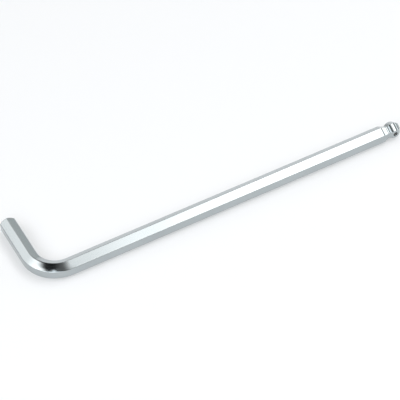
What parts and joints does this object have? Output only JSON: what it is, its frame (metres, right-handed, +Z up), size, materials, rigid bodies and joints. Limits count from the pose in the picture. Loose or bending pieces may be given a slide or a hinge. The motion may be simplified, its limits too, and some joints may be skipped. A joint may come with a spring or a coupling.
{
  "type": "hex key",
  "caption": "L-shaped hexagon key: plain driving end on the short arm, ball-shaped driving end with a retention plug on the long arm.",
  "frame": {"origin": "bottom centre of the whole key as it lies on a surface", "axes": "+X along the long arm towards the ball, +Y along the short arm towards its end, +Z up, square to the plane of the L"},
  "size_m": [0.208, 0.046, 0.0091],
  "materials": {
    "plated_steel": "bright plated steel, drawn flats with a faint grain along the bar",
    "polymer": "dark grey moulded plug, slightly glossy"
  },
  "bodies": {
    "root": {"hex_key": "plated_steel", "retention_plug": "polymer"}
  },
  "joints": []
}
